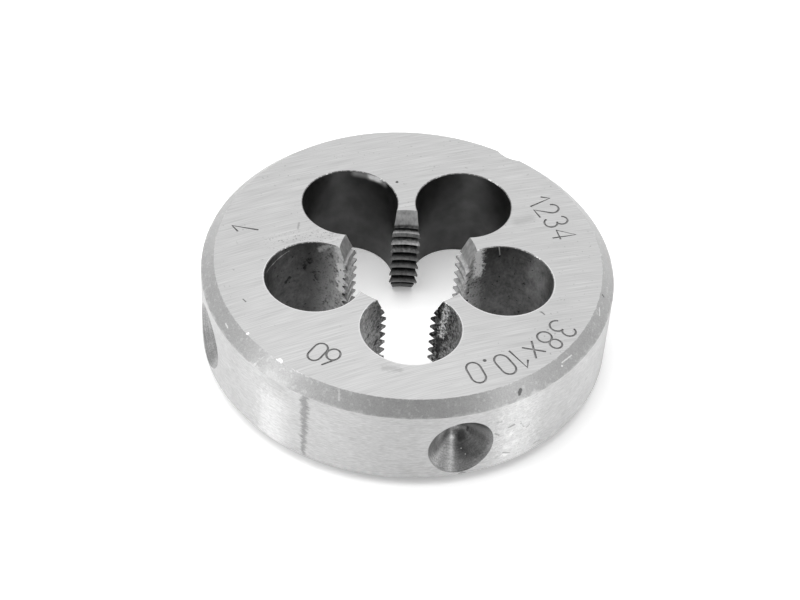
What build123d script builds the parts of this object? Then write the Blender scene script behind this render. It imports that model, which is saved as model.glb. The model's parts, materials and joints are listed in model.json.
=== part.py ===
# Round threading die, 12 x 1 right-hand, in millimetres.
# One piece of tool steel: turned, drilled, threaded, hardened and ground.
# The origin is the centre of the back face and +Z points to the marked face.
# Angles are counted from +X, and the first chip hole lies towards -Y.

import os
from math import radians, tan

from build123d import *

# Body
body_diameter = 38.0
thickness = 10.0
rim_chamfer = 1.2

# Chip holes
chip_hole_count = 5
chip_hole_diameter = 9.0
chip_hole_circle = 18.2
first_hole_angle = -90.0
edge_break = 0.07
edge_break_angle = 90.0

# Thread, with a lead-in throat at each face
thread_diameter = 12.0
pitch = 1.0
thread_angle = 60.0
crest_height_at_x = 0.37
root_flat_share = 1 / 8
thread_depth_share = 5 / 8
throat_clearance = 0.43
front_throat_angle = 42.0
back_throat_angle = 60.0

# Conical seats in the rim for the die stock's screws
seat_diameter = 6.4
seat_angle = 90.0
seat_height = 4.65
seat_positions = (-76.4, -163.5)

# Round-bottomed groove in the rim for the adjusting screw, beside the thin wall of a chip hole
groove_radius = 2.5
groove_depth = 1.55
groove_position = 55.5

# How far a cutting shape stands clear of the faces that it cuts
overrun = 0.3
start_overrun_in_pitches = 1.5

# Worked out from the sizes above
body_radius = body_diameter / 2
hole_radius = chip_hole_diameter / 2
hole_circle_radius = chip_hole_circle / 2
hole_spacing = 360 / chip_hole_count
hole_mouth_radius = hole_radius + edge_break
flank_slope = tan(radians(thread_angle / 2))
root_radius = thread_diameter / 2
sharp_thread_height = pitch / 2 / flank_slope
crest_radius = root_radius - sharp_thread_height * thread_depth_share
throat_radius = root_radius + throat_clearance
front_throat_depth = (throat_radius - crest_radius) / tan(radians(front_throat_angle / 2))
back_throat_depth = (throat_radius - crest_radius) / tan(radians(back_throat_angle / 2))
seat_slope = tan(radians(seat_angle / 2))
seat_depth = seat_diameter / 2 / seat_slope

# One thread groove, with a flat root, as long as the arc between two chip holes
with BuildPart() as land_groove:
    groove_inside = crest_radius - overrun / 2
    half_root = pitch * root_flat_share / 2
    half_mouth = half_root + (root_radius - groove_inside) * flank_slope
    with BuildLine() as land_helix:
        Helix(pitch, pitch / chip_hole_count, root_radius)
    with BuildSketch(Plane.XZ):
        with BuildLine():
            Polyline(
                (groove_inside, -half_mouth),
                (root_radius, -half_root),
                (root_radius, half_root),
                (groove_inside, half_mouth),
                close=True,
            )
        make_face()
    sweep(path=land_helix.line, is_frenet=True)

# Where each groove starts: in the middle of a chip hole, and a pitch above the last
groove_starts = []
for hole in range(chip_hole_count):
    hole_angle = first_hole_angle + hole * hole_spacing
    groove_height = crest_height_at_x + pitch * (hole_angle / 360 - start_overrun_in_pitches)
    while groove_height < thickness + pitch:
        groove_starts.append(Location((0, 0, groove_height), (0, 0, hole_angle)))
        groove_height += pitch

with BuildPart() as die_body:
    # Turned blank: the rim with its chamfers, and the bore with its two throats
    with BuildSketch(Plane.XZ):
        with BuildLine():
            Polyline(
                (crest_radius, back_throat_depth),
                (throat_radius, 0),
                (body_radius - rim_chamfer, 0),
                (body_radius, rim_chamfer),
                (body_radius, thickness - rim_chamfer),
                (body_radius - rim_chamfer, thickness),
                (throat_radius, thickness),
                (crest_radius, thickness - front_throat_depth),
                close=True,
            )
        make_face()
    revolve(axis=Axis.Z)

    # Chip holes: they break into the bore and leave the cutting lands between them
    with Locations(Plane.XY.offset(thickness)):
        with PolarLocations(hole_circle_radius, chip_hole_count, first_hole_angle):
            CounterSinkHole(hole_radius, hole_mouth_radius, counter_sink_angle=edge_break_angle)
    with Locations(Plane.XY.rotated((180, 0, 0))):
        with PolarLocations(hole_circle_radius, chip_hole_count, -first_hole_angle):
            CounterSinkHole(hole_radius, hole_mouth_radius, counter_sink_angle=edge_break_angle)

    # Thread teeth: the grooves are cut across every land
    with Locations(*groove_starts):
        add(land_groove.part, mode=Mode.SUBTRACT)

    # Screw seats: cones turned about radial lines
    for seat_position in seat_positions:
        seat_plane = Plane.XZ.rotated((0, 0, seat_position))
        with BuildSketch(seat_plane):
            with BuildLine():
                Polyline(
                    (body_radius - seat_depth, seat_height),
                    (body_radius + overrun, seat_height),
                    (body_radius + overrun, seat_height + (seat_depth + overrun) * seat_slope),
                    close=True,
                )
            make_face()
        revolve(axis=Axis((0, 0, seat_height), seat_plane.x_dir), mode=Mode.SUBTRACT)

    # Adjusting groove, over the full height of the rim
    groove_centre_radius = body_radius - groove_depth + groove_radius
    with BuildSketch():
        with PolarLocations(groove_centre_radius, 1, groove_position):
            Circle(groove_radius)
    extrude(amount=thickness, mode=Mode.SUBTRACT)

die_body.part.label = "die_body"

os.makedirs("parts", exist_ok=True)
export_step(die_body.part, "parts/die_body.step")
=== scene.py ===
import json
from math import atan2, cos, degrees, hypot, pi, radians, sin

import bmesh
import bpy
from mathutils import Matrix, Vector

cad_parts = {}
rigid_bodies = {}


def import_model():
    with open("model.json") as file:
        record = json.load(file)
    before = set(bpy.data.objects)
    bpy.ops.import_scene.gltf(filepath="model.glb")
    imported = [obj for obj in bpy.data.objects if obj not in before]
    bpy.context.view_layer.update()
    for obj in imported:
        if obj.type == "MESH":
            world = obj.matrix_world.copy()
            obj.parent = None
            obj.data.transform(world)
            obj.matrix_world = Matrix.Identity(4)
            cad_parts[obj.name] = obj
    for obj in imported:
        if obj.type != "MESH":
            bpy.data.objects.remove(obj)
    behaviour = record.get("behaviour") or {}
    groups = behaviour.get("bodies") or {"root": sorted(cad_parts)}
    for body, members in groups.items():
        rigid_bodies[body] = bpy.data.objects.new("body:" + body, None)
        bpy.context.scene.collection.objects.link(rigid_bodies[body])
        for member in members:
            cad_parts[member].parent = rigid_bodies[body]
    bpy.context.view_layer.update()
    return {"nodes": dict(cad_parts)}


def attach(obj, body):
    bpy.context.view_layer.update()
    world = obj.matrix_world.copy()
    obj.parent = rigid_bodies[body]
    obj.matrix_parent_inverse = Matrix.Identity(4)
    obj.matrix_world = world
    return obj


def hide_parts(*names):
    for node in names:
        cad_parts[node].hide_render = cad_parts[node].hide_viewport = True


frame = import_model()
print("frame loaded:", sorted(frame["nodes"]))

mm = 0.001

# the die's own places, in millimetres and degrees from +X
die = {
    "outerRadius": 19.0,
    "height": 10.0,
    "faceRadius": 17.8,       # where the flat faces meet the rim's chamfers
    "chamferHeight": 1.2,
    "holeRadius": 4.5,
    "holeCircle": 9.1,
    "holeCount": 5,
    "firstHole": -90.0,
    "edgeBreak": 0.07,
    "threadReach": 6.6,       # inside this radius lie only the teeth and the throats, which share a finish
    "crestRadius": 5.46,
    "rootRadius": 6.0,
    "seatAngles": (-76.4, -163.5),
    "seatHeight": 4.65,
    "grooveAngle": 55.5,
    "grooveHalfWidth": 8.0,   # degrees to each side that hold nothing but the groove
}


def onCircle(radius, angle, height=0.0):
    turned = radians(angle)
    return Vector((radius * cos(turned), radius * sin(turned), height)) * mm


holeCentres = []
for hole in range(die["holeCount"]):
    holeCentres.append(onCircle(die["holeCircle"], die["firstHole"] + hole * 360 / die["holeCount"]))
frontHoles = [centre for centre in holeCentres if centre.y < 0]


# Nodes that every finish uses

def newGroup(name, inputs, outputs):
    group = bpy.data.node_groups.new(name, "ShaderNodeTree")
    for socketName, socketType, value in inputs:
        socket = group.interface.new_socket(socketName, in_out="INPUT", socket_type=socketType)
        if value is not None:
            socket.default_value = value
    for socketName, socketType in outputs:
        group.interface.new_socket(socketName, in_out="OUTPUT", socket_type=socketType)
    entry = group.nodes.new("NodeGroupInput")
    leave = group.nodes.new("NodeGroupOutput")
    return group, entry, leave


def feed(tree, socket, value):
    if isinstance(value, (int, float, tuple)):
        socket.default_value = value
    elif isinstance(value, Vector):
        socket.default_value = tuple(value)
    else:
        tree.links.new(value, socket)


def mathNode(tree, operation, first, second=None, third=None, clamp=False):
    node = tree.nodes.new("ShaderNodeMath")
    node.operation = operation
    node.use_clamp = clamp
    for socket, value in zip(node.inputs, (first, second, third)):
        if value is not None:
            feed(tree, socket, value)
    return node.outputs[0]


def vectorNode(tree, operation, first, second, output="Vector"):
    node = tree.nodes.new("ShaderNodeVectorMath")
    node.operation = operation
    feed(tree, node.inputs[0], first)
    feed(tree, node.inputs["Scale"] if operation == "SCALE" else node.inputs[1], second)
    return node.outputs[output]


def noiseNode(tree, vector, scale, detail=2.0, roughness=0.5):
    node = tree.nodes.new("ShaderNodeTexNoise")
    feed(tree, node.inputs["Vector"], vector)
    feed(tree, node.inputs["Scale"], scale)
    node.inputs["Detail"].default_value = detail
    node.inputs["Roughness"].default_value = roughness
    return node.outputs["Fac"]


def rangeNode(tree, value, fromLow, fromHigh, toLow=0.0, toHigh=1.0, smooth=False):
    node = tree.nodes.new("ShaderNodeMapRange")
    node.interpolation_type = "SMOOTHSTEP" if smooth else "LINEAR"
    feed(tree, node.inputs["Value"], value)
    feed(tree, node.inputs["From Min"], fromLow)
    feed(tree, node.inputs["From Max"], fromHigh)
    feed(tree, node.inputs["To Min"], toLow)
    feed(tree, node.inputs["To Max"], toHigh)
    return node.outputs["Result"]


noiseSpan = (0.3, 0.7)   # nearly all of a noise lies between these


# a noise turned into a shade about 1
def shadeOf(tree, noise, contrast):
    return rangeNode(tree, noise, *noiseSpan, 1 - contrast, 1 + contrast)


# a value that a noise shifts by up to half a swing to each side
def wavered(tree, value, noise, swing):
    return mathNode(tree, "MULTIPLY_ADD", mathNode(tree, "SUBTRACT", noise, 0.5), swing, value)


# two noises in one; share is the first one's
def blended(tree, first, second, share):
    return mathNode(tree, "MULTIPLY_ADD", first, share, mathNode(tree, "MULTIPLY", second, 1 - share))


# the X, Y and Z of a vector
def splitVector(tree, vector):
    node = tree.nodes.new("ShaderNodeSeparateXYZ")
    tree.links.new(vector, node.inputs[0])
    return node.outputs


def joinVector(tree, x, y, z=0.0):
    node = tree.nodes.new("ShaderNodeCombineXYZ")
    for socket, value in zip(node.inputs, (x, y, z)):
        feed(tree, socket, value)
    return node.outputs[0]


def opposite(tree, mask):
    return mathNode(tree, "SUBTRACT", 1.0, mask)


def mixColour(tree, mask, first, second):
    node = tree.nodes.new("ShaderNodeMix")
    node.data_type = "RGBA"
    feed(tree, node.inputs["Factor"], mask)
    for name, value in (("A", first), ("B", second)):
        socket = [s for s in node.inputs if s.name == name and s.type == "RGBA"][0]
        if isinstance(value, (int, float)):
            value = (value, value, value, 1)
        feed(tree, socket, value)
    return [s for s in node.outputs if s.type == "RGBA"][0]


# Tool lines: fine parallel lines along X of the incoming vector, which is in mm
def buildLinesGroup():
    group, entry, leave = newGroup(
        "toolLines",
        [
            ("Vector", "NodeSocketVector", None),
            ("Spacing", "NodeSocketFloat", 0.2),
            ("Length", "NodeSocketFloat", 8.0),
        ],
        [("Lines", "NodeSocketFloat"), ("Bands", "NodeSocketFloat")],
    )
    at = splitVector(group, entry.outputs["Vector"])
    along = mathNode(group, "DIVIDE", at["X"], entry.outputs["Length"])
    across = mathNode(group, "DIVIDE", at["Y"], entry.outputs["Spacing"])
    stretched = joinVector(group, along, across, at["Z"])
    group.links.new(noiseNode(group, stretched, 1.0, 1.0, 0.6), leave.inputs["Lines"])
    group.links.new(noiseNode(group, stretched, 0.21), leave.inputs["Bands"])
    return group


# Specks: 1 in a small ragged spot and 0 outside; Cover is about the share that they take
def buildSpecksGroup():
    group, entry, leave = newGroup(
        "steelSpecks",
        [
            ("Vector", "NodeSocketVector", None),
            ("Size", "NodeSocketFloat", 0.3),
            ("Cover", "NodeSocketFloat", 0.05),
        ],
        [("Mask", "NodeSocketFloat")],
    )
    shrink = mathNode(group, "DIVIDE", 1.0, entry.outputs["Size"])
    scaled = vectorNode(group, "SCALE", entry.outputs["Vector"], shrink)
    field = noiseNode(group, scaled, 1.0, 2.5, 0.6)
    # a noise hardly ever passes 0.72, and each tenth of Cover lets in 0.075 more of it
    edge = mathNode(group, "MULTIPLY_ADD", entry.outputs["Cover"], -0.75, 0.72)
    low = mathNode(group, "SUBTRACT", edge, 0.03)
    high = mathNode(group, "ADD", edge, 0.03)
    group.links.new(rangeNode(group, field, low, high, smooth=True), leave.inputs["Mask"])
    return group


# A wear mark: 1 within Radius of the line from Start to End, with a ragged edge, and 0 outside
def buildMarkGroup():
    group, entry, leave = newGroup(
        "wearMark",
        [
            ("Vector", "NodeSocketVector", None),
            ("Start", "NodeSocketVector", None),
            ("End", "NodeSocketVector", None),
            ("Radius", "NodeSocketFloat", 0.5),
            ("Ragged", "NodeSocketFloat", 0.2),
            ("Grain", "NodeSocketFloat", 0.3),
            ("Soft", "NodeSocketFloat", 0.3),
        ],
        [("Mask", "NodeSocketFloat")],
    )
    place, start, end = entry.outputs["Vector"], entry.outputs["Start"], entry.outputs["End"]
    run = vectorNode(group, "SUBTRACT", end, start)
    fromStart = vectorNode(group, "SUBTRACT", place, start)
    dot = vectorNode(group, "DOT_PRODUCT", fromStart, run, "Value")
    square = vectorNode(group, "DOT_PRODUCT", run, run, "Value")
    share = mathNode(group, "DIVIDE", dot, mathNode(group, "MAXIMUM", square, 0.000001), clamp=True)
    nearest = vectorNode(group, "ADD", start, vectorNode(group, "SCALE", run, share))
    away = vectorNode(group, "DISTANCE", place, nearest, "Value")
    grain = vectorNode(group, "SCALE", place, mathNode(group, "DIVIDE", 1.0, entry.outputs["Grain"]))
    swing = mathNode(group, "MULTIPLY", entry.outputs["Ragged"], 4.0)   # most noise is within 0.25 of 0.5
    ragged = wavered(group, away, noiseNode(group, grain, 1.0, 3.0, 0.65), swing)
    soft = mathNode(group, "MULTIPLY", entry.outputs["Radius"], entry.outputs["Soft"])
    inner = mathNode(group, "SUBTRACT", entry.outputs["Radius"], soft)
    outer = mathNode(group, "ADD", entry.outputs["Radius"], soft)
    group.links.new(rangeNode(group, ragged, inner, outer, 1.0, 0.0, smooth=True), leave.inputs["Mask"])
    return group


linesGroup = buildLinesGroup()
specksGroup = buildSpecksGroup()
markGroup = buildMarkGroup()


def placeGroup(tree, group, vector, **values):
    node = tree.nodes.new("ShaderNodeGroup")
    node.node_tree = group
    tree.links.new(vector, node.inputs["Vector"])
    for name, value in values.items():
        feed(tree, node.inputs[name], value)
    return node


# a colour made lighter or darker by a shade
def shaded(tree, colour, shade):
    return vectorNode(tree, "SCALE", colour, shade)


# one kind of specks in a look, laid over a colour; where is a mask that they keep to
def addSpecks(tree, place, colour, look, kind, where=None):
    specks = placeGroup(tree, specksGroup, place, Size=look[kind + "Size"], Cover=look[kind + "Cover"])
    mask = specks.outputs["Mask"]
    if where is not None:
        mask = mathNode(tree, "MULTIPLY", mask, where)
    return mixColour(tree, mask, colour, look[kind + "Grey"])


# one mark in a look, in mm: a spot, or a band from start to end; soft is a share of its radius
def mark(start, end=None, radius=0.1, ragged=0.0, grain=0.3, soft=0.3, grey=None, strength=None, matt=0.0):
    return {
        "start": start,
        "end": end or start,
        "radius": radius,
        "ragged": ragged,
        "grain": grain,
        "soft": soft,
        "grey": grey,
        "strength": strength,
        "matt": matt,
    }


def markMask(tree, place, worn):
    shape = {name.title(): worn[name] for name in ("start", "end", "radius", "ragged", "grain", "soft")}
    mask = placeGroup(tree, markGroup, place, **shape).outputs["Mask"]
    if worn["strength"]:
        mask = mathNode(tree, "MULTIPLY", mask, worn["strength"])
    return mask


# what is left of a share, 1 or a socket, where a mask takes part of it away
def lessMask(tree, share, mask, taken):
    return mathNode(tree, "MULTIPLY", share, mathNode(tree, "MULTIPLY_ADD", mask, -taken, 1.0))


# Each mark lays its own grey over the colour that comes in, and a matt one takes from the bare metal
def addMarks(tree, place, colour, marks, bare=1.0):
    for worn in marks:
        mask = markMask(tree, place, worn)
        colour = mixColour(tree, mask, colour, worn["grey"])
        if worn["matt"]:
            bare = lessMask(tree, bare, mask, worn["matt"])
    return colour, bare


# the mesh's UV map, in mm along and across the tool's path
def pathNode(tree):
    node = tree.nodes.new("ShaderNodeUVMap")
    node.uv_map = "toolPath"
    return node.outputs[0]


# a bare steel material: its tree, its shader and the object coordinates in mm
def newSteel(name, roughness, anisotropy=0.0):
    material = bpy.data.materials.new(name)
    material.use_nodes = True
    tree = material.node_tree
    shader = tree.nodes["Principled BSDF"]
    shader.inputs["Metallic"].default_value = 1.0
    shader.inputs["Roughness"].default_value = roughness
    if anisotropy:
        shader.inputs["Anisotropic"].default_value = anisotropy
        shader.inputs["Anisotropic Rotation"].default_value = 0.25
        tangent = tree.nodes.new("ShaderNodeTangent")
        tangent.direction_type = "UV_MAP"
        tangent.uv_map = "toolPath"
        tree.links.new(tangent.outputs[0], shader.inputs["Tangent"])
    coordinates = tree.nodes.new("ShaderNodeTexCoord")
    place = vectorNode(tree, "SCALE", coordinates.outputs["Object"], 1000.0)
    return material, tree, shader, place


def addBump(tree, shader, height, distance):
    bump = tree.nodes.new("ShaderNodeBump")
    bump.inputs["Strength"].default_value = 1.0
    bump.inputs["Distance"].default_value = distance
    tree.links.new(height, bump.inputs["Height"])
    tree.links.new(bump.outputs["Normal"], shader.inputs["Normal"])


# The flat faces: ground in long, slightly curved lines
groundFaceLook = {
    "grey": 0.57,
    "fineContrast": 0.115,
    "bandContrast": 0.035,
    "roughness": 0.33,
    "anisotropy": 0.4,
    "grindAngle": 18.5,
    "grindRadius": 140.0,      # the wheel leaves the lines slightly curved
    "lineSpacing": 0.085,
    "lineLength": 4.0,
    "lineHeight": 0.000002,
    "speckSize": 0.3,
    "speckCover": 0.02,
    "speckGrey": 0.36,
    "pepper": mark((-12.2, 1.6, 10.0), (-7.4, 2.6, 10.0), radius=1.0, ragged=0.3, soft=0.6),
    "pepperSize": 0.16,
    "pepperCover": 0.13,
    "pepperGrey": 0.26,
    "holeEdgeHighlight": (4.56, 4.7),   # from a front hole's axis: a painted highlight where the edge catches the light
    "holeEdgeHighlightGrey": 0.86,
    "holeEdgeHighlightBehind": (2.0, 3.6),  # and how far behind the axis it fades out
    "marks": [
        mark((-8.0, -11.0, 10.0), radius=9.0, ragged=0.8, grain=9.0, soft=1.0, grey=0.64, strength=0.75),
        mark((2.0, -15.5, 10.0), radius=6.0, ragged=0.8, grain=7.0, soft=1.0, grey=0.66, strength=0.5),
        mark((-0.88, 10.39, 10.0), radius=0.14, ragged=0.03, grain=0.15, grey=0.1),
        mark((11.75, -6.8, 10.0), (12.0, -7.1, 10.0), radius=0.07, grey=0.22),
        mark((-14.95, -6.0, 10.0), (-14.7, -6.3, 10.0), radius=0.06, grey=0.2),
        mark((10.3, 5.1, 10.0), (11.6, 5.7, 10.0), radius=0.4, ragged=0.15, soft=1.0, grey=0.48),
        mark((-2.5, -14.15, 10.0), (-1.2, -14.3, 10.0), radius=0.28, ragged=0.2, soft=0.9, grey=0.5),
        mark((-10.1, 4.3, 10.0), (-10.2, 3.5, 10.0), radius=0.09, ragged=0.05, soft=0.8, grey=0.4),
    ],
}


def groundFaceMaterial(look):
    material, tree, shader, place = newSteel("groundFace", look["roughness"], look["anisotropy"])
    grind = radians(look["grindAngle"])
    along = vectorNode(tree, "DOT_PRODUCT", place, (cos(grind), sin(grind), 0), "Value")
    flat = vectorNode(tree, "MULTIPLY", place, (1, 1, 0))
    wheel = (sin(grind) * look["grindRadius"], -cos(grind) * look["grindRadius"], 0)
    across = vectorNode(tree, "DISTANCE", flat, wheel, "Value")
    path = joinVector(tree, along, across)
    lines = placeGroup(tree, linesGroup, path, Spacing=look["lineSpacing"], Length=look["lineLength"])
    fine = shadeOf(tree, lines.outputs["Lines"], look["fineContrast"])
    band = shadeOf(tree, lines.outputs["Bands"], look["bandContrast"])
    shade = mathNode(tree, "MULTIPLY", fine, band)
    colour = addSpecks(tree, place, look["grey"], look, "speck")
    colour = addSpecks(tree, place, colour, look, "pepper", markMask(tree, place, look["pepper"]))
    colour, bare = addMarks(tree, place, colour, look["marks"])
    feed(tree, shader.inputs["Metallic"], bare)
    colour = shaded(tree, colour, shade)
    # a painted highlight round the edge of each front hole, on its near side
    depth = splitVector(tree, place)["Y"]
    for centre in frontHoles:
        fromAxis = vectorNode(tree, "DISTANCE", flat, centre / mm, "Value")
        ring = rangeNode(tree, fromAxis, *look["holeEdgeHighlight"], 1.0, 0.0, smooth=True)
        behind = mathNode(tree, "SUBTRACT", depth, centre.y / mm)
        near = rangeNode(tree, behind, *look["holeEdgeHighlightBehind"], 1.0, 0.0, smooth=True)
        colour = mixColour(tree, mathNode(tree, "MULTIPLY", ring, near), colour, look["holeEdgeHighlightGrey"])
    tree.links.new(colour, shader.inputs["Base Color"])
    addBump(tree, shader, lines.outputs["Lines"], look["lineHeight"])
    return material


# The rim's chamfers: turned, with a sandy grain, pale rubbed patches and some nicks
chamferLook = {
    "grey": 0.365,
    "grainContrast": 0.11,
    "grainSize": 0.13,
    "cloudContrast": 0.05,
    "cloudSize": 1.3,
    "grainHeight": 0.000006,
    "rubbedGrey": 0.435,
    "rubbedSize": 0.4,
    "rubbedCover": 0.14,
    "roughness": 0.38,
    "anisotropy": 0.3,
    "wornEdge": (0.0, 0.14),   # how far the face's edge is worn over the chamfer, in mm
    "edgeSpan": (0.5, 0.8),
    "edgeGrain": 0.5,
    "edgeGrey": 0.5,
    "wornFoot": (-0.05, 0.18), # and the rim's edge, which wavers more slowly
    "footSpan": (0.35, 0.7),
    "footGrain": 1.1,
    "footSoft": 0.07,
    "marks": [
        mark((-11.65, -13.25, 9.9), (-11.3, -13.55, 9.9), radius=0.2, ragged=0.06, grey=1.0),
        mark((-14.38, -10.22, 9.95), radius=0.17, ragged=0.05, grain=0.2, grey=0.95),
        mark((-16.35, -8.45, 9.3), (-16.1, -9.0, 9.2), radius=0.1, ragged=0.08, grain=0.2, grey=0.7),
        mark((-13.72, -12.98, 8.9), (-13.6, -12.9, 9.0), radius=0.1, ragged=0.05, grain=0.2, grey=0.52),
        mark((-13.6, -12.9, 9.0), (-12.9, -12.72, 9.68), radius=0.05, ragged=0.03, grain=0.2, soft=0.8,
             grey=0.43),
        # painted highlight: a paler band at the chamfer's foot, where the rim's left highlight runs onto it
        mark((-12.5, -14.1, 8.95), (-11.2, -15.2, 8.9), radius=0.42, ragged=0.35, grain=0.5, soft=1.0,
             grey=0.43),
        mark((-6.38, -16.74, 9.85), (-6.36, -17.37, 9.3), radius=0.09, ragged=0.05, grey=0.5),
        mark((9.36, -15.85, 9.38), (9.25, -16.1, 9.15), radius=0.17, ragged=0.05, grain=0.2, grey=0.12),
        mark((13.21, -12.6, 9.54), (14.13, -11.63, 9.49), radius=0.06, ragged=0.02, grain=0.2, grey=0.66),
        mark((13.21, -12.85, 9.37), radius=0.09, ragged=0.02, grain=0.2, grey=0.75),
        mark((17.1, -5.81, 9.74), (17.1, -6.6, 9.5), radius=0.05, ragged=0.03, grey=0.66),
        mark((17.5, -4.2, 9.75), (17.65, -4.3, 9.65), radius=0.08, ragged=0.03, grain=0.2, grey=0.1),
    ],
}


def chamferMaterial(look):
    material, tree, shader, place = newSteel("turnedChamfer", look["roughness"], look["anisotropy"])
    grain = noiseNode(tree, place, 1 / look["grainSize"], 2.0, 0.6)
    cloud = noiseNode(tree, place, 1 / look["cloudSize"], 3.0, 0.6)
    fine = shadeOf(tree, grain, look["grainContrast"])
    broad = shadeOf(tree, cloud, look["cloudContrast"])
    colour = addSpecks(tree, place, look["grey"], look, "rubbed")
    middle = die["height"] / 2
    height = splitVector(tree, place)["Z"]
    fromMiddle = mathNode(tree, "ABSOLUTE", mathNode(tree, "SUBTRACT", height, middle))
    fromFace = mathNode(tree, "SUBTRACT", middle, fromMiddle)
    edge = noiseNode(tree, place, 1 / look["edgeGrain"], 3.0, 0.7)
    reach = rangeNode(tree, edge, *look["edgeSpan"], *look["wornEdge"])
    worn = mathNode(tree, "LESS_THAN", fromFace, reach)
    slow = noiseNode(tree, place, 1 / look["footGrain"])
    foot = rangeNode(tree, slow, *look["footSpan"], *look["wornFoot"])
    fromFoot = mathNode(tree, "SUBTRACT", die["chamferHeight"], fromFace)
    pastFoot = mathNode(tree, "SUBTRACT", fromFoot, foot)
    wornFoot = rangeNode(tree, pastFoot, -look["footSoft"], look["footSoft"], 1.0, 0.0)
    worn = mathNode(tree, "MAXIMUM", worn, wornFoot)
    colour = mixColour(tree, worn, colour, look["edgeGrey"])
    colour, bare = addMarks(tree, place, colour, look["marks"])
    feed(tree, shader.inputs["Metallic"], bare)
    shade = mathNode(tree, "MULTIPLY", fine, broad)
    tree.links.new(shaded(tree, colour, shade), shader.inputs["Base Color"])
    addBump(tree, shader, grain, look["grainHeight"])
    return material


# The rim: ground round its axis, with one dark ragged stripe down it, painted highlights and glints, and
# painted shade on its front and right side
rimLook = {
    "grey": 0.565,
    "lineContrast": 0.14,
    "cloudContrast": 0.04,
    "roughness": 0.43,
    "anisotropy": 0.97,
    "lineSpacing": 0.085,
    "lineLength": 0.55,
    "dimpleSize": 0.2,
    "dimpleHeight": 0.000015,
    "stripeAngle": -119.3,
    "stripeWidth": 0.3,        # half of it, at the top
    "stripeFoot": 0.17,        # and at the bottom
    "stripeHeights": (2.0, 7.5),   # where it has those widths
    "stripeStart": (1.1, 1.4),     # its lower end fades in between these
    "stripeSoft": 0.12,
    "stripeWaver": 1.0,            # how far its edges swing, in mm
    "tickStretch": (1.0, 1.0, 7.0),
    "unevenStretch": (1.3, 1.3, 4.5),
    "unevenSpan": (0.35, 0.65),
    "unevenShares": (0.6, 1.7),    # of its width
    "stripeGrey": 0.335,
    "glintingBeaten": [                # where the surface is more uneven, and where glints are painted
        mark((9.4, -16.5, 7.0), (9.4, -16.5, 2.8), radius=2.2, ragged=0.4, grain=2.0, soft=1.0),
        mark((-12.5, -14.3, 6.0), (-12.5, -14.3, 3.0), radius=1.6, ragged=0.4, grain=2.0, soft=1.0,
             strength=0.5),
    ],
    "beatenSize": 0.45,
    "beatenHeight": 9.0,       # times the dimples' height
    "paintedGlintSize": 0.3,          # painted glints: bright specks there; and dark specks
    "paintedGlintCover": 0.2,
    "paintedGlintGrey": 0.76,
    "pitSize": 0.2,
    "pitCover": 0.07,
    "pitGrey": 0.44,
    "marks": [
        # painted shade where the rim's right side and its front reflect less light
        mark((18.6, -3.6, 8.0), (18.6, -3.6, 2.0), radius=3.5, soft=1.0, grey=0.46),
        mark((0.0, -19.0, 8.0), (0.0, -19.0, 2.0), radius=3.0, soft=1.0, grey=0.525),
        # painted shade over the top of the left highlight
        mark((-12.2, -14.55, 8.6), (-11.6, -15.0, 8.6), radius=0.9, ragged=0.15, grain=0.8, soft=1.0,
             grey=0.51),
        # painted highlights, on the left and on the right
        mark((-12.2, -14.55, 5.6), (-12.2, -14.55, 1.5), radius=1.3, ragged=0.15, grain=0.8, soft=0.9,
             grey=0.68),
        mark((9.4, -16.5, 7.5), (9.4, -16.5, 2.0), radius=1.8, ragged=0.25, grain=0.6, soft=0.8, grey=0.69),
        # painted glints in the right highlight
        mark((8.7, -16.89, 4.5), (8.95, -16.76, 4.8), radius=0.22, ragged=0.12, soft=1.0, grey=0.9),
        mark((9.2, -16.6, 3.3), (9.45, -16.5, 3.5), radius=0.22, ragged=0.12, soft=1.0, grey=0.8),
        mark((8.5, -17.0, 3.2), (8.8, -16.84, 3.0), radius=0.22, ragged=0.12, soft=1.0, grey=0.8),
        mark((8.4, -17.05, 2.2), (8.75, -16.87, 2.2), radius=0.18, ragged=0.1, soft=1.0, grey=0.85),
        mark((8.7, -16.9, 8.4), (9.3, -16.57, 8.5), radius=0.22, ragged=0.15, grain=0.4, soft=1.0,
             grey=0.7),
        mark((8.63, -16.93, 5.75), (9.09, -16.68, 5.82), radius=0.1, ragged=0.06, soft=0.7, grey=0.38),
        mark((9.7, -16.33, 5.63), (10.13, -16.07, 4.81), radius=0.055, ragged=0.03, soft=0.8, grey=0.4),
        mark((10.29, -15.97, 4.75), (10.62, -15.75, 4.89), radius=0.06, ragged=0.03, soft=0.8, grey=0.4),
        mark((7.38, -17.51, 5.5), (7.75, -17.35, 5.15), radius=0.08, ragged=0.04, soft=0.8, grey=0.38),
        mark((7.48, -17.46, 6.9), (7.94, -17.26, 6.8), radius=0.07, ragged=0.05, soft=1.0, grey=0.46),
        mark((11.31, -15.26, 1.94), (11.79, -14.9, 1.9), radius=0.08, ragged=0.08, soft=1.0, grey=0.45),
        mark((8.31, -17.08, 2.58), (8.96, -16.75, 2.2), radius=0.05, ragged=0.04, soft=0.8, grey=0.42),
    ],
}


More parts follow.
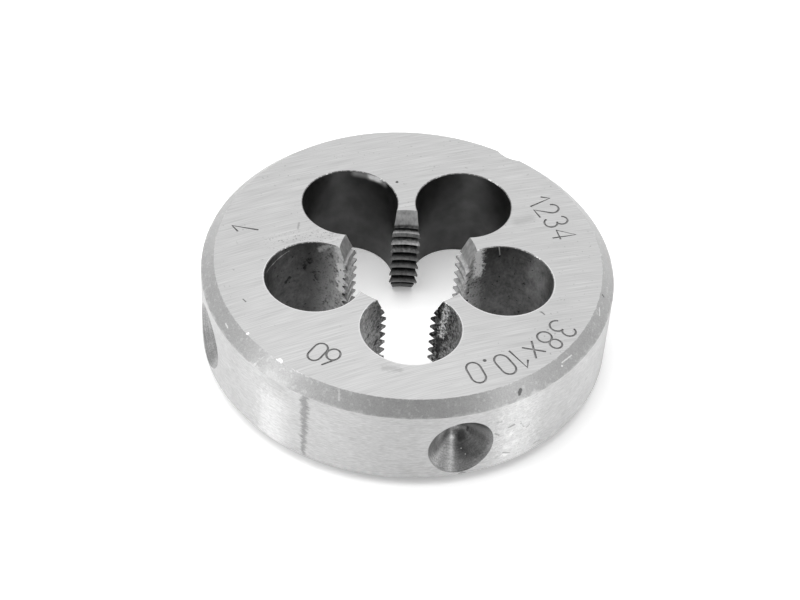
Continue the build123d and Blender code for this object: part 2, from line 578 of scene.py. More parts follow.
def rimMaterial(look):
    material, tree, shader, place = newSteel("groundRim", look["roughness"], look["anisotropy"])
    stretch = (1 / look["lineLength"], 1 / look["lineLength"], 1 / look["lineSpacing"])
    lines = noiseNode(tree, vectorNode(tree, "MULTIPLY", place, stretch), 1.0, 2.0, 0.6)
    cloud = noiseNode(tree, place, 0.5, 3.0)
    fine = shadeOf(tree, lines, look["lineContrast"])
    broad = shadeOf(tree, cloud, look["cloudContrast"])
    shade = mathNode(tree, "MULTIPLY", fine, broad)
    height = splitVector(tree, place)["Z"]
    sideways = onCircle(1000, look["stripeAngle"] + 90)
    outward = onCircle(1000, look["stripeAngle"])
    aside = vectorNode(tree, "DOT_PRODUCT", place, sideways, "Value")
    front = mathNode(tree, "GREATER_THAN", vectorNode(tree, "DOT_PRODUCT", place, outward, "Value"), 0.0)
    ticks = noiseNode(tree, vectorNode(tree, "MULTIPLY", place, look["tickStretch"]), 1.0, 2.0, 0.8)
    ragged = wavered(tree, aside, ticks, look["stripeWaver"])
    reach = rangeNode(tree, height, *look["stripeHeights"], look["stripeFoot"], look["stripeWidth"])
    uneven = noiseNode(tree, vectorNode(tree, "MULTIPLY", place, look["unevenStretch"]), 1.0, 3.0, 0.8)
    widths = rangeNode(tree, uneven, *look["unevenSpan"], *look["unevenShares"])
    reach = mathNode(tree, "MULTIPLY", reach, widths)
    inner = mathNode(tree, "SUBTRACT", reach, look["stripeSoft"])
    outer = mathNode(tree, "ADD", reach, look["stripeSoft"])
    stripe = rangeNode(tree, mathNode(tree, "ABSOLUTE", ragged), inner, outer, 1.0, 0.0)
    foot = rangeNode(tree, height, *look["stripeStart"])
    stripe = mathNode(tree, "MULTIPLY", stripe, mathNode(tree, "MULTIPLY", foot, front))
    colour = mixColour(tree, stripe, look["grey"], look["stripeGrey"])
    colour, bare = addMarks(tree, place, colour, look["marks"])
    feed(tree, shader.inputs["Metallic"], bare)
    colour = shaded(tree, colour, shade)
    elsewhere = vectorNode(tree, "ADD", place, (31, 7, 3))   # so that the pits don't follow the painted glints
    zones = [markMask(tree, place, zone) for zone in look["glintingBeaten"]]
    # painted glints in the uneven zones, and dark pits
    for zone in zones:
        colour = addSpecks(tree, place, colour, look, "paintedGlint", zone)
        colour = addSpecks(tree, elsewhere, colour, look, "pit", zone)
    tree.links.new(colour, shader.inputs["Base Color"])
    flatter = vectorNode(tree, "MULTIPLY", place, (0.6, 0.6, 1.0))
    dimples = noiseNode(tree, flatter, 1 / look["dimpleSize"], 2.0, 0.7)
    larger = noiseNode(tree, place, 1 / look["beatenSize"], 3.0, 0.65)
    for zone in zones:
        deeper = mathNode(tree, "MULTIPLY", zone, look["beatenHeight"])
        dimples = mathNode(tree, "MULTIPLY_ADD", deeper, larger, dimples)
    addBump(tree, shader, dimples, look["dimpleHeight"])
    return material


# The chip holes' walls: dark from hardening; the front three are blotchy, and pale and matt near the lands;
# a painted highlight near the top of the rear left hole
boreLook = {
    "grey": 0.074,
    "cloud": 0.22,
    "roughness": 0.42,
    "blotchyBelow": 2.4,       # only the front three holes reach below this Y
    "blotchSize": 1.3,
    "grainSize": 0.24,
    "grainHeight": 0.00003,
    "blotch": 0.5,
    "speckled": (0.08, 2.3),   # the front hole's right wall: the darkest and the palest share
    "sandy": (0.55, 1.5),      # and its left wall
    "frontBelow": -4.6,        # only the front hole reaches below this Y
    "leftReach": (6.0, 9.4),   # from the axis: all pale, and no longer pale
    "rightReach": (5.7, 7.5),
    "cloudShift": 7.0,         # how far the noises shift the edge of the pale parts, in mm
    "grainShift": 5.0,
    "paleGrey": (0.12, 0.8),
    "paleSpan": (0.38, 0.62),  # of the noise that runs through the pale greys
    "blotchSpan": (0.36, 0.64),
    "frontSpan": (0.44, 0.59),
    "matt": 0.85,
    "brightest": 0.95,
    "spotGrey": 0.008,
    "spotSize": 0.4,
    "spotCover": 0.05,
    "overMarks": [             # these lie over the pale parts
        mark((-6.4, 1.1, 9.6), (-6.15, 0.97, 7.6), radius=0.4, ragged=0.3, grain=0.35, soft=1.0,
             grey=0.85, strength=0.6, matt=1.0),
        mark((-6.15, 0.97, 7.6), (-6.0, 0.85, 5.0), radius=0.32, ragged=0.3, grain=0.35, soft=0.9,
             grey=1.5, matt=1.0),
        mark((6.5, 1.15, 9.8), (6.6, 1.2, 7.0), radius=0.42, ragged=0.42, grain=0.22, soft=1.0,
             grey=1.35, matt=1.0),
    ],
    "marks": [
        mark((-10.0, 0.5, 5.0), radius=4.5, soft=0.5, grey=0.09),
        mark((9.0, -1.5, 5.0), radius=5.0, grey=0.092),
        mark((12.6, -1.5, 9.0), (12.9, -3.5, 3.0), radius=2.2, soft=1.0, grey=0.22),
        mark((-9.0, 1.66, 7.9), (-9.5, 1.55, 6.9), radius=0.2, ragged=0.45, soft=1.0, grey=0.015),
        mark((-8.6, 1.68, 6.2), (-8.2, 1.6, 5.4), radius=0.2, ragged=0.25, grain=0.4, soft=0.6, grey=0.02),
        mark((-7.3, 1.5, 9.7), (-8.0, 1.65, 9.2), radius=0.32, ragged=0.3, grain=0.7, soft=0.6,
             grey=0.36, matt=0.8),
        mark((-10.94, 1.06, 6.0), (-11.2, 0.9, 5.6), radius=0.18, ragged=0.2, grain=0.35, soft=0.6,
             grey=0.012),
        mark((-12.93, -1.42, 9.05), (-12.35, -0.26, 9.03), radius=0.06, soft=0.9, grey=0.5, matt=0.5),
        mark((-12.35, -0.26, 9.03), (-11.61, 0.58, 9.25), radius=0.06, soft=0.9, grey=0.42, matt=0.5),
        mark((-11.61, 0.58, 9.25), (-10.97, 1.04, 9.43), radius=0.05, soft=0.9, grey=0.3, matt=0.5),
        mark((6.7, 1.2, 6.0), (6.9, 1.3, 5.6), radius=0.25, ragged=0.12, grain=0.4, grey=0.012),
        mark((8.4, 1.68, 10.0), (8.58, 1.68, 8.9), radius=0.05, grey=0.4, matt=0.5),
        mark((-3.45, -6.2, 9.5), (-3.0, -5.8, 2.0), radius=2.2, ragged=0.5, grain=0.7, soft=0.4, grey=0.3),
        mark((4.2, -7.4, 9.5), (3.6, -6.4, 2.0), radius=2.0, ragged=0.7, grain=0.5, soft=0.5, grey=0.16),
        mark((3.3, -6.05, 9.4), (3.05, -5.8, 5.8), radius=0.36, ragged=0.3, grain=0.22, grey=0.8, matt=0.6),
        mark((2.72, -5.5, 7.9), radius=0.25, ragged=0.2, soft=0.6, grey=0.02),
        mark((2.8, -5.6, 5.0), (2.85, -5.6, 3.6), radius=0.42, ragged=0.35, grain=0.35, soft=0.6,
             grey=0.02),
        mark((-2.4, -5.3, 5.3), (-2.4, -5.3, 3.9), radius=0.16, ragged=0.15, soft=0.6, grey=0.03),
        mark((-3.0, -5.8, 4.6), (-2.5, -5.35, 2.6), radius=0.9, ragged=0.2, grain=0.5, soft=1.0, grey=0.2),
        mark((-2.96, -5.71, 4.3), (-2.73, -5.52, 4.7), radius=0.15, ragged=0.1, soft=0.6, grey=0.02),
        mark((-2.77, -5.55, 6.5), (-2.7, -5.5, 6.3), radius=0.1, ragged=0.08, soft=0.6, grey=0.05),
        mark((-3.64, -6.46, 6.0), (-3.6, -6.4, 6.2), radius=0.13, ragged=0.08, soft=0.6, grey=0.02),
        mark((-3.2, -5.95, 8.7), (-3.1, -5.85, 8.8), radius=0.1, ragged=0.08, soft=0.6, grey=0.05),
        # painted highlight near the top of the rear left hole's far wall
        mark((-4.8, 11.83, 9.7), (-3.42, 11.43, 9.65), radius=0.3, soft=1.0, grey=0.4, matt=0.5),
        mark((-3.42, 11.43, 9.65), (-2.1, 10.47, 9.72), radius=0.32, soft=1.0, grey=0.5, matt=0.5),
        mark((-3.3, 11.38, 9.7), (-2.6, 10.95, 9.75), radius=0.3, ragged=0.05, grain=0.4, soft=0.8,
             grey=1.0, matt=1.0),
    ],
}


def boreMaterial(look):
    material, tree, shader, place = newSteel("hardenedBore", look["roughness"])
    smooth = noiseNode(tree, place, 0.6, 3.0)
    cloud = noiseNode(tree, place, 1 / look["blotchSize"], 5.0, 0.65)
    upright = vectorNode(tree, "MULTIPLY", place, (1.0, 1.0, 0.7))
    grain = noiseNode(tree, upright, 1 / look["grainSize"], 3.0, 0.7)
    at = splitVector(tree, place)
    blotchy = mathNode(tree, "LESS_THAN", at["Y"], look["blotchyBelow"])
    fromAxis = vectorNode(tree, "LENGTH", vectorNode(tree, "MULTIPLY", place, (1, 1, 0)), (0, 0, 0), "Value")
    wander = fromAxis
    for noise, shift in ((cloud, look["cloudShift"]), (grain, look["grainShift"])):
        wander = wavered(tree, wander, noise, shift)
    left = rangeNode(tree, wander, *look["leftReach"], 1.0, 0.0, smooth=True)
    right = rangeNode(tree, wander, *look["rightReach"], 1.0, 0.0, smooth=True)
    onLeft = mathNode(tree, "LESS_THAN", at["X"], 0.0)
    pale = mathNode(tree, "MULTIPLY", left, onLeft)
    pale = mathNode(tree, "MAXIMUM", pale, mathNode(tree, "MULTIPLY", right, opposite(tree, onLeft)))
    front = mathNode(tree, "LESS_THAN", at["Y"], look["frontBelow"])
    pale = mathNode(tree, "MULTIPLY", pale, mathNode(tree, "SUBTRACT", blotchy, front))
    paleGrey = rangeNode(tree, blended(tree, cloud, grain, 0.5), *look["paleSpan"], *look["paleGrey"])
    colour, bare = addMarks(tree, place, look["grey"], look["marks"])
    colour = mixColour(tree, pale, colour, paleGrey)
    bare = lessMask(tree, bare, pale, look["matt"])
    colour, bare = addMarks(tree, place, colour, look["overMarks"], bare)
    feed(tree, shader.inputs["Metallic"], bare)
    calm = shadeOf(tree, smooth, look["cloud"])
    rough = blended(tree, cloud, grain, 0.6)
    uneven = rangeNode(tree, rough, *look["blotchSpan"], 1 - look["blotch"], 1 + look["blotch"])
    mixed = blended(tree, cloud, grain, 0.3)
    speckled = rangeNode(tree, mixed, *look["frontSpan"], *look["speckled"])
    sandy = rangeNode(tree, mixed, *look["frontSpan"], *look["sandy"])
    uneven = mixColour(tree, front, uneven, mixColour(tree, onLeft, speckled, sandy))
    shade = mathNode(tree, "MULTIPLY", uneven, blotchy)
    shade = mathNode(tree, "MULTIPLY_ADD", calm, opposite(tree, blotchy), shade)
    colour = vectorNode(tree, "MINIMUM", shaded(tree, colour, shade), (look["brightest"],) * 3)
    colour = addSpecks(tree, place, colour, look, "spot", blotchy)
    tree.links.new(colour, shader.inputs["Base Color"])
    addBump(tree, shader, mathNode(tree, "MULTIPLY", grain, blotchy), look["grainHeight"])
    return material


# The teeth: pale crests and flanks, painted shade in the roots, and painted shade on the lower teeth of the
# rear land and of the right front land
threadLook = {
    "crestGrey": 0.36,
    # painted shade in the roots, which lie deep between the teeth
    "rootShadeGrey": 0.05,
    "sideGrey": 0.36,          # the lands' sides outside the roots
    "sidesFrom": (0.02, 0.06), # mm outside the roots where they set in
    "roughness": 0.34,
    "mottle": 0.35,
    "waver": 0.3,              # how far the roots' dark line swings, in mm
    "heightWaver": 1.5,        # and the edge of the dark below
    "flankEnds": (0.12, 0.05), # mm from the crest and from the root, between which it turns dark
    "palerAbove": 8.6,         # the half teeth that the throat has cut
    "sidesPalerAbove": 6.9,    # on the side lands
    "palerSoft": 0.1,
    "palerGrey": 0.34,
    "palerMatt": 0.7,
    "rearLand": 3.5,           # only the rear land reaches this Y; painted shade darkens it below these heights
    "paintedShadeAt": (5.4, 7.0),
    "paintedShadeShare": 0.3,
    "frontLands": -4.0,        # only the front lands reach below this Y
    "frontShadeTaken": (0.5, 0.0),  # painted shade: what the right one lacks of its grey, at these heights
    "frontHeights": (3.0, 9.0),
}


def threadMaterial(look):
    material, tree, shader, place = newSteel("threadSteel", look["roughness"])
    flat = vectorNode(tree, "MULTIPLY", place, (1, 1, 0))
    fromAxis = vectorNode(tree, "LENGTH", flat, (0, 0, 0), "Value")
    depth = wavered(tree, fromAxis, noiseNode(tree, place, 2.5, 3.0, 0.6), look["waver"])
    past, before = look["flankEnds"]
    deep = rangeNode(tree, depth, die["crestRadius"] + past, die["rootRadius"] - before, smooth=True)
    at = splitVector(tree, place)
    onSides = mathNode(tree, "COMPARE", at["Y"], 0.0, look["rearLand"])
    lowered = look["sidesPalerAbove"] - look["palerAbove"]
    above = mathNode(tree, "MULTIPLY_ADD", onSides, lowered, look["palerAbove"])
    overLine = mathNode(tree, "SUBTRACT", at["Z"], above)
    upper = rangeNode(tree, overLine, -look["palerSoft"], look["palerSoft"])
    rootShadeColour = mixColour(tree, upper, look["rootShadeGrey"], look["palerGrey"])
    tree.links.new(lessMask(tree, 1.0, upper, look["palerMatt"]), shader.inputs["Metallic"])
    colour = mixColour(tree, deep, look["crestGrey"], rootShadeColour)
    fromRoot = mathNode(tree, "SUBTRACT", fromAxis, die["rootRadius"])
    outside = rangeNode(tree, fromRoot, *look["sidesFrom"])
    colour = mixColour(tree, outside, colour, look["sideGrey"])
    cloud = noiseNode(tree, vectorNode(tree, "MULTIPLY", place, (3.0, 3.0, 1.0)), 1.2, 4.0, 0.6)
    shade = shadeOf(tree, cloud, look["mottle"])
    height = wavered(tree, at["Z"], cloud, look["heightWaver"])
    # painted shade on the lower teeth, deep in the hole
    lower = rangeNode(tree, height, *look["paintedShadeAt"], look["paintedShadeShare"], 1.0, smooth=True)
    lower = mathNode(tree, "MAXIMUM", lower, mathNode(tree, "LESS_THAN", at["Y"], look["rearLand"]))
    onFront = mathNode(tree, "LESS_THAN", at["Y"], look["frontLands"])
    onFront = mathNode(tree, "MULTIPLY", onFront, mathNode(tree, "GREATER_THAN", at["X"], 0.0))
    taken = rangeNode(tree, height, *look["frontHeights"], *look["frontShadeTaken"])
    lower = lessMask(tree, lower, mathNode(tree, "MULTIPLY", onFront, taken), 1.0)
    shade = mathNode(tree, "MULTIPLY", shade, lower)
    tree.links.new(shaded(tree, colour, shade), shader.inputs["Base Color"])
    return material


# The screw seats: turned rings; on the near seat, painted light on one side, painted highlights along a
# streak, and painted shade on the other side and at the apex
seatLook = {
    "grey": 0.25,
    "ringContrast": 0.15,
    "ringSpacing": 0.12,
    "ringHeight": 0.000005,
    "grainSize": 0.14,
    "grainContrast": 0.24,
    "ringLength": 2.5,
    "roughness": 0.28,
    "anisotropy": 0.6,
    "marks": [
        mark((-18.2, -5.4, 4.65), radius=3.0, soft=0.2, grey=0.295),
        # painted light on the near seat's left side
        mark((2.3, -18.0, 4.65), radius=1.5, ragged=0.1, soft=0.9, grey=0.38),
        mark((2.75, -17.0, 4.6), (2.6, -17.2, 4.3), radius=0.55, ragged=0.1, soft=1.0, grey=0.36, matt=0.7),
        # painted shade on its right side
        mark((5.6, -16.7, 5.6), (5.6, -16.7, 3.4), radius=1.55, ragged=0.2, soft=0.4, grey=0.085),
        # painted highlight along the streak
        mark((3.75, -16.3, 3.75), (3.45, -18.4, 1.95), radius=0.32, ragged=0.1, soft=1.0, grey=0.335),
        # painted light on the upper wall and round the apex
        mark((5.2, -16.3, 5.6), (6.8, -17.4, 5.6), radius=0.75, ragged=0.15, soft=0.8, grey=0.24, matt=0.6),
        mark((2.8, -17.1, 4.9), (3.4, -16.2, 4.7), radius=0.4, ragged=0.15, soft=0.8, grey=0.4, matt=0.5),
        mark((3.4, -16.06, 4.3), (3.7, -15.9, 4.5), radius=0.34, ragged=0.15, soft=1.0, grey=0.24,
             matt=0.6),
        mark((4.4, -15.9, 4.5), (4.9, -16.05, 4.6), radius=0.32, ragged=0.15, soft=1.0, grey=0.22,
             matt=0.7),
        # painted shade at the apex
        mark((5.1, -16.2, 4.95), (5.05, -16.25, 4.5), radius=0.1, ragged=0.08, soft=1.0, grey=0.03),
        mark((4.6, -16.1, 3.98), (4.65, -16.3, 3.75), radius=0.42, ragged=0.12, soft=0.5, grey=0.045),
        # painted highlight at the streak's upper end
        mark((3.8, -16.31, 3.72), radius=0.16, ragged=0.1, grain=0.2, soft=0.8, grey=0.7, matt=0.7),
        mark((4.61, -16.98, 2.94), radius=0.05, grey=0.55, matt=1.0),
        mark((5.0, -17.33, 2.57), radius=0.05, grey=0.5, matt=1.0),
    ],
}


def seatMaterial(look):
    material, tree, shader, place = newSteel("screwSeat", look["roughness"], look["anisotropy"])
    path = pathNode(tree)
    lines = placeGroup(tree, linesGroup, path, Spacing=look["ringSpacing"], Length=look["ringLength"])
    shade = shadeOf(tree, lines.outputs["Lines"], look["ringContrast"])
    colour, bare = addMarks(tree, place, look["grey"], look["marks"])
    feed(tree, shader.inputs["Metallic"], bare)
    grain = noiseNode(tree, place, 1 / look["grainSize"], 2.0, 0.6)
    shade = mathNode(tree, "MULTIPLY", shade, shadeOf(tree, grain, look["grainContrast"]))
    tree.links.new(shaded(tree, colour, shade), shader.inputs["Base Color"])
    addBump(tree, shader, mathNode(tree, "ADD", lines.outputs["Lines"], grain), look["ringHeight"])
    return material


# The broken edges of the chip holes: bright towards the front, where they catch the light
edgeLook = {
    "frontGrey": 0.95,
    "rearGrey": 0.16,
    "frontFrom": (0.1, -0.4),  # sine of the way round the hole, from rear to front
    "chipGrey": 0.42,
    "chipSize": 0.25,
    "chipCover": 0.2,
    "roughness": 0.3,
}


def edgeMaterial(look):
    material, tree, shader, place = newSteel("edgeBreak", look["roughness"])
    turn = mathNode(tree, "DIVIDE", splitVector(tree, pathNode(tree))["X"], die["holeRadius"])
    front = rangeNode(tree, mathNode(tree, "SINE", turn), *look["frontFrom"], smooth=True)
    colour = addSpecks(tree, place, look["rearGrey"], look, "chip")
    tree.links.new(mixColour(tree, front, colour, look["frontGrey"]), shader.inputs["Base Color"])
    return material


plainLooks = {
    "adjustingGroove": {"grey": 0.36, "roughness": 0.35, "mottle": 0.15},
    "scribedLine": {"grey": 0.25, "roughness": 0.5, "mottle": 0.35},
    "freshNick": {"grey": 0.95, "roughness": 0.35, "mottle": 0.04, "matt": 0.8},
}


def plainSteel(name, look):
    material, tree, shader, place = newSteel(name, look["roughness"])
    shader.inputs["Metallic"].default_value = 1 - look.get("matt", 0.0)
    cloud = noiseNode(tree, place, 3.0, 4.0, 0.6)
    low = look["grey"] * (1 - look["mottle"])
    high = look["grey"] * (1 + look["mottle"])
    colour = mixColour(tree, rangeNode(tree, cloud, *noiseSpan), low, high)
    tree.links.new(colour, shader.inputs["Base Color"])
    return material


finishes = {
    "groundFace": groundFaceMaterial(groundFaceLook),
    "turnedChamfer": chamferMaterial(chamferLook),
    "groundRim": rimMaterial(rimLook),
    "hardenedBore": boreMaterial(boreLook),
    "threadSteel": threadMaterial(threadLook),
    "screwSeat": seatMaterial(seatLook),
    "edgeBreak": edgeMaterial(edgeLook),
}
for name, look in plainLooks.items():
    finishes[name] = plainSteel(name, look)
finishOrder = list(finishes)
print("finishes made:", ", ".join(finishOrder))


def newObject(name, data):
    made = bpy.data.objects.new(name, data)
    bpy.context.scene.collection.objects.link(made)
    return made


# the mesh that an object's curve or modifiers come to
def finishedMesh(made):
    bpy.context.view_layer.update()
    return bpy.data.meshes.new_from_object(made.evaluated_get(bpy.context.evaluated_depsgraph_get()))


# Plain numbers scribed into the front face, and nicks in its edge: both are cut out of the die

def bend(middleX, middleY, radiusX, radiusY, start, end, steps=14):
    points = []
    for step in range(steps + 1):
        turn = radians(start + (end - start) * step / steps)
        points.append((middleX + radiusX * cos(turn), middleY + radiusY * sin(turn)))
    return points


# each sign is as high as 1; a line that ends where it began is closed
signs = {
    "0": {"width": 0.52, "lines": [
        bend(0.26, 0.7, 0.26, 0.3, 0, 180) + bend(0.26, 0.3, 0.26, 0.3, 180, 360) + [(0.52, 0.7)],
    ]},
    "1": {"width": 0.3, "lines": [[(0.0, 0.72), (0.26, 1.0), (0.26, 0.0)]]},
    "2": {"width": 0.52, "lines": [bend(0.26, 0.72, 0.25, 0.28, 170, -38) + [(0.0, 0.0), (0.52, 0.0)]]},
    "3": {"width": 0.5, "lines": [
        bend(0.24, 0.75, 0.23, 0.25, 160, -80) + bend(0.24, 0.27, 0.26, 0.27, 80, -160),
    ]},
    "4": {"width": 0.56, "lines": [[(0.42, 0.0), (0.42, 1.0), (0.0, 0.3), (0.56, 0.3)]]},
    "6": {"width": 0.52, "lines": [[(0.4, 1.0), (0.1, 0.55)] + bend(0.26, 0.3, 0.26, 0.3, 140, 500, 20)]},
    "8": {"width": 0.52, "lines": [
        bend(0.26, 0.765, 0.21, 0.235, -90, 270, 18), bend(0.26, 0.265, 0.26, 0.265, 90, 450, 18),
    ]},
    "x": {"width": 0.5, "lines": [[(0.0, 0.1), (0.5, 0.8)], [(0.0, 0.8), (0.5, 0.1)]]},
    ".": {"width": 0.12, "lines": [bend(0.06, 0.06, 0.035, 0.035, 0, 360, 8)]},
}

scribed = {
    "lineRadius": 0.095,
    "places": [
        {"signs": "38x10.0", "from": -31.0, "to": -71.5, "inner": (14.9, 14.15), "height": 2.5},
        {"signs": "1234", "from": 34.5, "to": 11.5, "inner": (13.8, 13.8), "height": 2.3},
        {"signs": "60", "from": -116.2, "to": -126.0, "inner": (13.7, 13.7), "height": 2.3},
        {"signs": "1", "from": 169.5, "to": 166.6, "inner": (14.2, 14.2), "height": 2.5},
    ],
}

nicks = [
    {"at": (-11.48, -13.48, 10.05), "size": (0.3, 0.22, 0.14), "turn": -45},
    {"at": (-14.42, -10.28, 10.03), "size": (0.18, 0.14, 0.1), "turn": 30},
    {"at": (-16.42, -8.7, 9.42), "size": (0.16, 0.2, 0.14), "turn": 20},
]


# points of one place's lines in mm: tops outward, read clockwise
def scribedLines(place):
    high = place["height"]
    first, last = place["inner"]
    radius = (first + last + high) / 2
    widths = [signs[sign]["width"] * high for sign in place["signs"]]
    room = radians(place["from"] - place["to"]) * radius
    gap = (room - sum(widths)) / max(1, len(widths) - 1)
    start = 0.0
    lines = []
    for sign, width in zip(place["signs"], widths):
        turn = radians(place["from"]) - (start + width / 2) / radius
        foot = first + (last - first) * start / room
        outward = Vector((cos(turn), sin(turn), 0))
        onward = Vector((sin(turn), -cos(turn), 0))
        for line in signs[sign]["lines"]:
            points = []
            for x, y in line:
                side = onward * (x * high - width / 2)
                points.append(outward * (foot + y * high) + side + Vector((0, 0, die["height"])))
            lines.append(points)
        start += width + gap
    return lines


def lineCutter():
    curve = bpy.data.curves.new("scribedLines", "CURVE")
    curve.dimensions = "3D"
    curve.bevel_depth = scribed["lineRadius"]
    curve.bevel_resolution = 1
    curve.use_fill_caps = True
    for place in scribed["places"]:
        for points in scribedLines(place):
            closed = (points[0] - points[-1]).length < 0.001
            if closed:
                points = points[:-1]
            spline = curve.splines.new("POLY")
            spline.points.add(len(points) - 1)
            for corner, point in zip(spline.points, points):
                corner.co = (point.x, point.y, point.z, 1)
            spline.use_cyclic_u = closed
    return newObject("scribedLines", curve)


# the cutter in mm: material 1 for the scribed lines and 2 for the nicks
def makeCutter():
    lines = lineCutter()
    form = bmesh.new()
    form.from_mesh(finishedMesh(lines))
    for face in form.faces:
        face.material_index = 1
    known = set(form.faces)
    for nick in nicks:
        shape = Matrix.Diagonal((*nick["size"], 1))
        at = Matrix.Translation(nick["at"]) @ Matrix.Rotation(radians(nick["turn"]), 4, "Z") @ shape
        bmesh.ops.create_icosphere(form, subdivisions=2, radius=1.0, matrix=at)
    for face in form.faces:
        if face not in known:
            face.material_index = 2
    bmesh.ops.remove_doubles(form, verts=form.verts, dist=0.0001)
    bmesh.ops.recalc_face_normals(form, faces=form.faces)
    mesh = bpy.data.meshes.new("cutter")
    form.to_mesh(mesh)
    form.free()
    bpy.data.objects.remove(lines)
    return newObject("cutter", mesh)


# the body with the lines and nicks cut out of it; both meshes are in mm while it is done
def cutMarks(mesh):
    body = newObject("uncut", mesh)
    cutter = makeCutter()
    stand = bpy.data.materials.new("uncutSteel")   # holds the slot of what isn't cut
    for part in (body, cutter):
        for steel in (stand, finishes["scribedLine"], finishes["freshNick"]):
            part.data.materials.append(steel)
    cut = body.modifiers.new("cut", "BOOLEAN")
    cut.operation = "DIFFERENCE"
    cut.solver = "EXACT"
    cut.use_self = True
    cut.material_mode = "INDEX"
    cut.object = cutter
    result = finishedMesh(body)
    print("marks cut:", len(mesh.polygons), "faces before,", len(result.polygons), "after")
    bpy.data.objects.remove(body)
    bpy.data.objects.remove(cutter)
    return result


# The die: a merged copy of the frame's node, sorted into its finishes

def nearestHole(point):
    flat = Vector((point.x, point.y, 0))
    return min(holeCentres, key=lambda centre: (flat - centre).length)


# how far a small face's middle may lie from its true surface, in mm, and how its normal may rise
sorting = {
    "wallSlack": 0.03,
    "edgeSlack": 0.1,
    "faceSlack": 0.01,
    "upright": 0.02,
    "level": 0.99,
}


def finishAt(centre, normal):
    point = centre / mm
    radius = hypot(point.x, point.y)
    fromHole = (Vector((centre.x, centre.y, 0)) - nearestHole(centre)).length / mm
    fromWall = abs(fromHole - die["holeRadius"])
    fromFace = min(point.z, die["height"] - point.z)
    rise = abs(normal.z)
    upright = rise < sorting["upright"]
    if fromFace < sorting["faceSlack"] and rise > sorting["level"]:
        return "groundFace"
    if upright and fromWall < sorting["wallSlack"]:
        return "hardenedBore"
    nearEdge = fromWall < sorting["edgeSlack"] and fromFace < die["edgeBreak"] + sorting["wallSlack"]
    if nearEdge and radius > die["crestRadius"]:
        return "edgeBreak"
    if radius < die["threadReach"]:
        return "threadSteel"
    if upright and radius > die["outerRadius"] - sorting["wallSlack"]:
        return "groundRim"
    angle = degrees(atan2(point.y, point.x))
    if abs(angle - die["grooveAngle"]) < die["grooveHalfWidth"] and upright:
        return "adjustingGroove"
    if fromFace < die["chamferHeight"] and radius > die["faceRadius"] - sorting["edgeSlack"]:
        return "turnedChamfer"
    return "screwSeat"


# round the Z axis: the angle times a radius, and the height, with no jump within one face
def turnedUv(point, radius, reference):
    turn = atan2(point.y, point.x)
    while turn - reference > pi:
        turn -= 2 * pi
    while turn - reference < -pi:
        turn += 2 * pi
    return turn * radius, point.z / mm


# a point seen along the axis of its screw seat
def inSeat(point, seatAngle):
    outward = onCircle(1, seatAngle).normalized()
    sideways = Vector((-outward.y, outward.x, 0))
    fromAxis = point - Vector((0, 0, die["seatHeight"] * mm))
    return Vector((fromAxis.dot(sideways), fromAxis.z, fromAxis.dot(outward)))


# UV in mm whose first direction follows the tool's path over the face
def pathUv(finish, point, faceCentre):
    if finish == "groundFace":
        grind = radians(groundFaceLook["grindAngle"])
        u = point.x * cos(grind) + point.y * sin(grind)
        v = point.y * cos(grind) - point.x * sin(grind)
        return u / mm, v / mm
    if finish in ("hardenedBore", "edgeBreak"):
        centre = nearestHole(faceCentre)
        fromCentre = faceCentre - centre
        return turnedUv(point - centre, die["holeRadius"], atan2(fromCentre.y, fromCentre.x))
    if finish == "screwSeat":
        nearest = min(
            die["seatAngles"],
            key=lambda angle: (onCircle(die["outerRadius"], angle, die["seatHeight"]) - faceCentre).length,
        )
        middle = inSeat(faceCentre, nearest)
        return turnedUv(inSeat(point, nearest), 2.0, atan2(middle.y, middle.x))
    return turnedUv(point, die["outerRadius"], atan2(faceCentre.y, faceCentre.x))


cutFinishes = {1: "scribedLine", 2: "freshNick"}


def makeDieBody():
    form = bmesh.new()
    form.from_mesh(frame["nodes"]["die_body"].data)
    bmesh.ops.remove_doubles(form, verts=form.verts, dist=0.0005 * mm)
    bmesh.ops.dissolve_degenerate(form, edges=form.edges, dist=0.0005 * mm)
    bmesh.ops.scale(form, vec=(1000, 1000, 1000), verts=form.verts)
    whole = bpy.data.meshes.new("uncut")
    form.to_mesh(whole)
    form.free()
    form = bmesh.new()
    form.from_mesh(cutMarks(whole))
    bmesh.ops.scale(form, vec=(mm, mm, mm), verts=form.verts)
    uv = form.loops.layers.uv.new("toolPath")
    form.normal_update()
    counts = {}
    for face in form.faces:
        centre = face.calc_center_median()
        finish = cutFinishes.get(face.material_index) or finishAt(centre, face.normal)
        counts[finish] = counts.get(finish, 0) + 1
        face.material_index = finishOrder.index(finish)
        for corner in face.loops:
            corner[uv].uv = pathUv(finish, corner.vert.co, centre)
    mesh = bpy.data.meshes.new("dieBody")
    form.to_mesh(mesh)
    form.free()
    for name in [a.name for a in mesh.attributes if a.name.startswith("custom_normal")]:
        mesh.attributes.remove(mesh.attributes[name])
    for finish in finishOrder:
        mesh.materials.append(finishes[finish])
    mesh.shade_smooth()
    mesh.set_sharp_from_angle(angle=radians(14))
    print("die body:", counts)
    return newObject("dieBody", mesh)


dieBody = makeDieBody()
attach(dieBody, "root")
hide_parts("die_body")


# Floor, light and camera

floorLook = {"radius": 1.2, "grey": 0.92, "roughness": 0.4, "glow": 0.2}


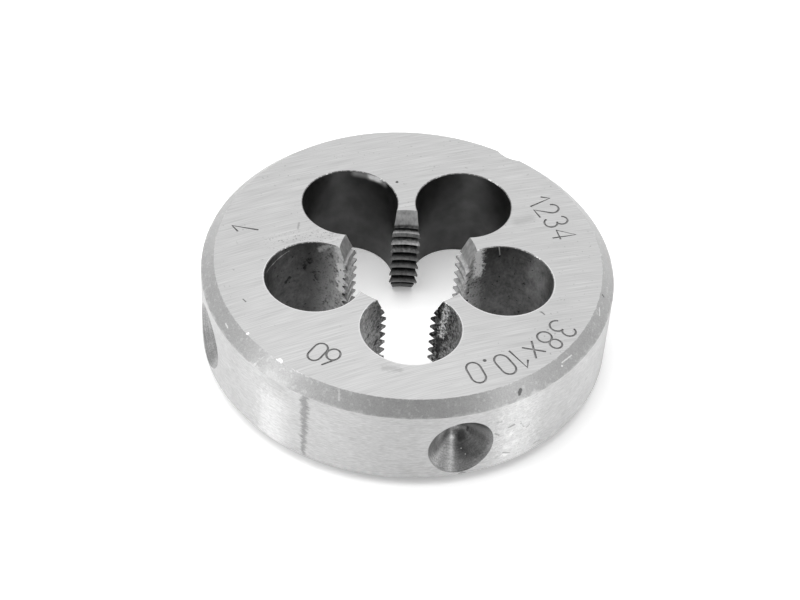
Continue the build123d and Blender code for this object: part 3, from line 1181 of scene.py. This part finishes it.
def plainFloor(look):
    form = bmesh.new()
    bmesh.ops.create_circle(form, cap_ends=True, segments=64, radius=look["radius"])
    mesh = bpy.data.meshes.new("paleFloor")
    form.to_mesh(mesh)
    form.free()
    material = bpy.data.materials.new("paleFloor")
    material.use_nodes = True
    shader = material.node_tree.nodes["Principled BSDF"]
    shader.inputs["Base Color"].default_value = (look["grey"], look["grey"], look["grey"], 1)
    shader.inputs["Roughness"].default_value = look["roughness"]
    shader.inputs["Emission Color"].default_value = (1, 1, 1, 1)
    shader.inputs["Emission Strength"].default_value = look["glow"]
    mesh.materials.append(material)
    newObject("paleFloor", mesh)


# a white room, paler overhead for the floor, with one darker side as where the room is open
roomLook = {
    "sideFill": 0.42,
    "overheadFill": 2.75,
    "overheadSpan": (0.6, 0.93),   # cosines of the angles from its middle where it sets in and is full
    "overheadSide": 155.0,         # the azimuth and the elevation of its middle
    "overheadRise": 75.0,
    "darkAzimuth": -82.0,
    "darkElevation": 46.0,
    "darkStrength": 0.5,
    "darkCore": 14.0,              # degrees from the middle of the dark side
    "darkReach": 36.0,
}


def direction(azimuth, elevation):
    side = radians(azimuth)
    rise = radians(elevation)
    return Vector((cos(side) * cos(rise), sin(side) * cos(rise), sin(rise)))


def whiteRoom(look):
    world = bpy.data.worlds.new("whiteRoom")
    world.use_nodes = True
    tree = world.node_tree
    background = tree.nodes["Background"]
    path = tree.nodes.new("ShaderNodeLightPath")
    coordinates = tree.nodes.new("ShaderNodeTexCoord")
    outward = coordinates.outputs["Generated"]
    overhead = direction(look["overheadSide"], look["overheadRise"])
    rise = vectorNode(tree, "DOT_PRODUCT", outward, overhead, "Value")
    span = look["overheadSpan"]
    fill = rangeNode(tree, rise, *span, look["sideFill"], look["overheadFill"], smooth=True)
    middle = direction(look["darkAzimuth"], look["darkElevation"])
    facing = vectorNode(tree, "DOT_PRODUCT", outward, middle, "Value")
    edge = cos(radians(look["darkReach"]))
    core = cos(radians(look["darkCore"]))
    room = rangeNode(tree, facing, edge, core, 1.0, look["darkStrength"], smooth=True)
    straight = mathNode(tree, "MAXIMUM", path.outputs["Is Camera Ray"], path.outputs["Is Transmission Ray"])
    bounced = mathNode(tree, "MAXIMUM", straight, path.outputs["Is Glossy Ray"])
    seen = mathNode(tree, "MAXIMUM", room, straight)
    shown = mathNode(tree, "MULTIPLY", seen, bounced)
    hidden = mathNode(tree, "MULTIPLY", fill, opposite(tree, bounced))
    tree.links.new(mathNode(tree, "ADD", shown, hidden), background.inputs["Strength"])
    background.inputs["Color"].default_value = (1, 1, 1, 1)
    bpy.context.scene.world = world


softBoxes = {
    "leftSoftBox": {"azimuth": -165, "elevation": 41, "distance": 0.6, "size": 0.14, "power": 0.37},
    "rightSoftBox": {"azimuth": -30, "elevation": 41, "distance": 0.6, "size": 0.15, "power": 0.18},
}


def softBox(name, box):
    lamp = bpy.data.lights.new(name, "AREA")
    lamp.shape = "SQUARE"
    lamp.size = box["size"]
    lamp.energy = box["power"]
    holder = newObject(name, lamp)
    back = direction(box["azimuth"], box["elevation"])
    holder.location = back * box["distance"]
    holder.rotation_mode = "QUATERNION"
    holder.rotation_quaternion = (-back).to_track_quat("-Z", "Y")


viewpoint = {
    "lens": 93.44,
    "distance": 0.19734,
    "azimuth": -94.212,
    "elevation": 45.217,
    "aim": (-0.000204, 0.004562, 0.0),
    "roll": 4.0455,
}


def placeCamera(view):
    camera = bpy.data.cameras.new("camera")
    camera.lens = view["lens"]
    camera.sensor_width = 36
    camera.clip_start = 0.01
    holder = newObject("camera", camera)
    place = direction(view["azimuth"], view["elevation"]) * view["distance"]
    level = (Vector(view["aim"]) - place).to_track_quat("-Z", "Y").to_matrix().to_4x4()
    holder.matrix_world = Matrix.Translation(place) @ level @ Matrix.Rotation(radians(view["roll"]), 4, "Z")
    bpy.context.scene.camera = holder


plainFloor(floorLook)
whiteRoom(roomLook)
for name, box in softBoxes.items():
    softBox(name, box)
placeCamera(viewpoint)
bpy.context.scene.view_settings.view_transform = "Standard"
print("floor, lamps and camera set")
